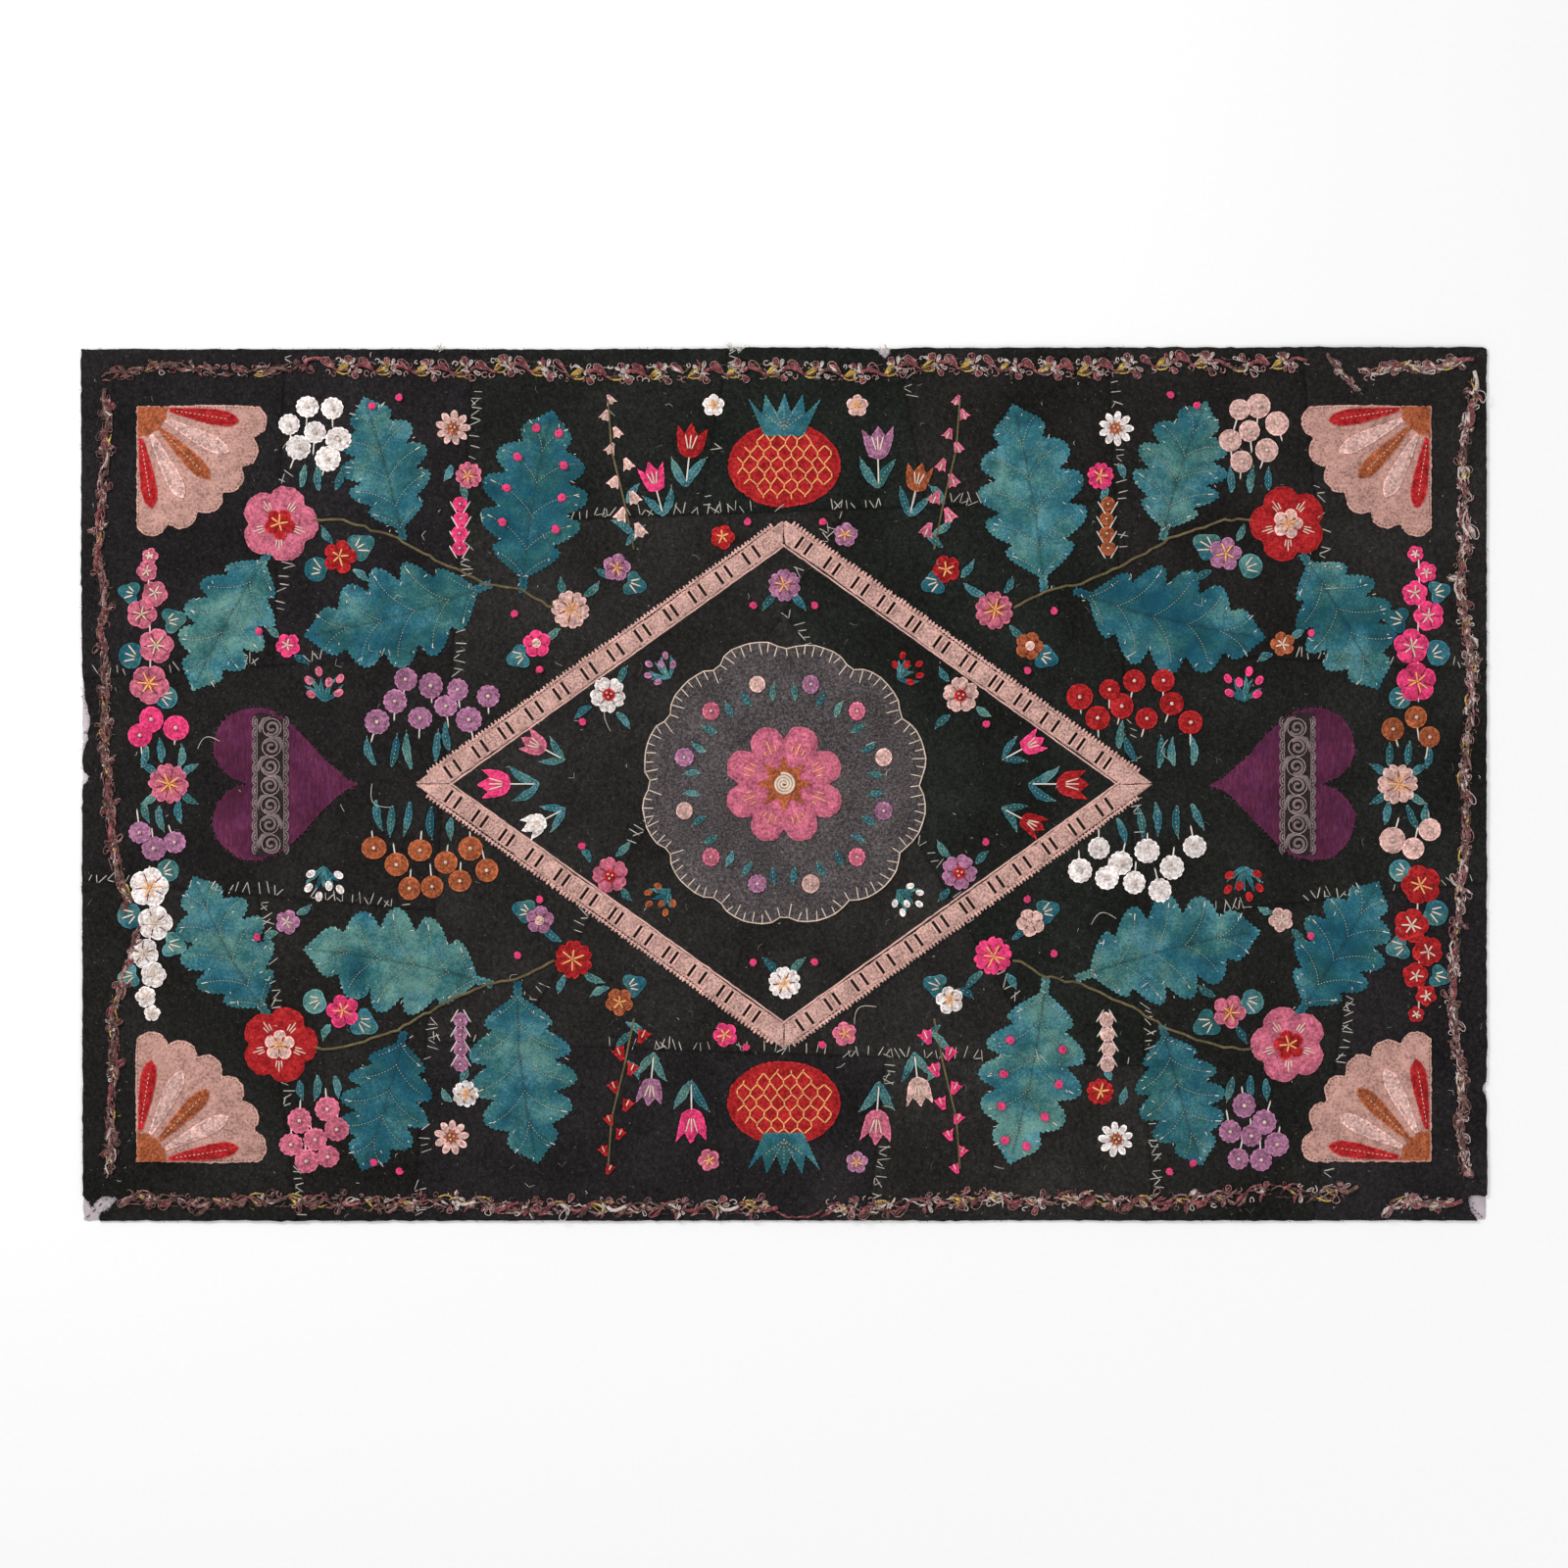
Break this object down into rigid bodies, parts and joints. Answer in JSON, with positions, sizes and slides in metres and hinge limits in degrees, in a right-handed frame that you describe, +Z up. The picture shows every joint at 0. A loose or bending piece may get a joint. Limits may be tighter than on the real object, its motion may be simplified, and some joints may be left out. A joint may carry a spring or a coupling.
{
  "type": "applique rug",
  "caption": "Oblong applique rug: felt leaves, hearts, fans and flowers on black wool, a lace diamond, a looped braid border and a canvas backing.",
  "frame": {"origin": "centre of the underside, on the surface the rug lies on", "axes": "+X along the long side, +Y along the short side, +Z up out of the pattern side"},
  "size_m": [1.2, 0.746, 0.0087],
  "materials": {
    "canvas": "plain off-white cotton canvas, soiled and fuzzy where worn",
    "black_wool": "matte felted black wool in slightly different blacks, with lint",
    "teal_deep": "matte napped wool, mottled",
    "teal_mid": "matte napped wool, mottled",
    "teal_soft": "matte napped wool, mottled and faded",
    "charcoal_felt": "heathered wool felt",
    "purple_twill": "wool twill with frayed raw edges",
    "grey_lace": "matte grey scroll lace",
    "pink_lace": "matte cotton beading lace, soiled pink",
    "red_felt": "wool felt",
    "rose_felt": "wool felt, faded",
    "orange_felt": "wool felt, rust orange",
    "taupe_felt": "plain wool cloth",
    "braid_crisp": "looped viscose braid in burgundy, yellow and white",
    "braid_worn": "the same braid worn to a fuzzy mauve and brown cord",
    "magenta_felt": "wool felt",
    "lilac_felt": "wool felt, faded",
    "white_felt": "wool felt, soiled white",
    "cream_felt": "wool felt, pale pink",
    "white_thread": "matte cotton thread",
    "yellow_thread": "soft-sheen embroidery cotton",
    "dark_thread": "sewing thread",
    "olive_cord": "twisted cord"
  },
  "bodies": {
    "root": {"backing_canvas": "canvas", "blossom_ne": "red_felt", "blossom_nw": "rose_felt", "blossom_se": "rose_felt", "blossom_sw": "red_felt", "braid_bottom_east": "braid_crisp", "braid_bottom_right": "braid_worn", "braid_bottom_west": "braid_crisp", "braid_left": "braid_worn", "braid_left_low": "braid_worn", "braid_right": "braid_worn", "braid_tail": "braid_worn", "braid_top": "braid_crisp", "braid_top_left": "braid_worn", "braid_top_right": "braid_worn", "crown_north": "teal_mid", "crown_south": "teal_mid", "fan_ne": "taupe_felt", "fan_nw": "taupe_felt", "fan_se": "taupe_felt", "fan_sw": "taupe_felt", "ground_cloth": "black_wool", "heart_band_east": "grey_lace", "heart_band_west": "grey_lace", "heart_east": "purple_twill", "heart_west": "purple_twill", "lace_ne": "pink_lace", "lace_nw": "pink_lace", "lace_se": "pink_lace", "lace_sw": "pink_lace", "leaf_ne_a": "teal_mid", "leaf_ne_b": "teal_soft", "leaf_ne_c": "teal_deep", "leaf_ne_d": "teal_mid", "leaf_nw_a": "teal_deep", "leaf_nw_b": "teal_mid", "leaf_nw_c": "teal_mid", "leaf_nw_d": "teal_soft", "leaf_se_a": "teal_soft", "leaf_se_b": "teal_mid", "leaf_se_c": "teal_mid", "leaf_se_d": "teal_deep", "leaf_sw_a": "teal_mid", "leaf_sw_b": "teal_deep", "leaf_sw_c": "teal_soft", "leaf_sw_d": "teal_mid", "medallion": "charcoal_felt", "pomegranate_north": "red_felt", "pomegranate_south": "red_felt", "rosette": "rose_felt", "rosette_star": "orange_felt"}
  },
  "joints": []
}
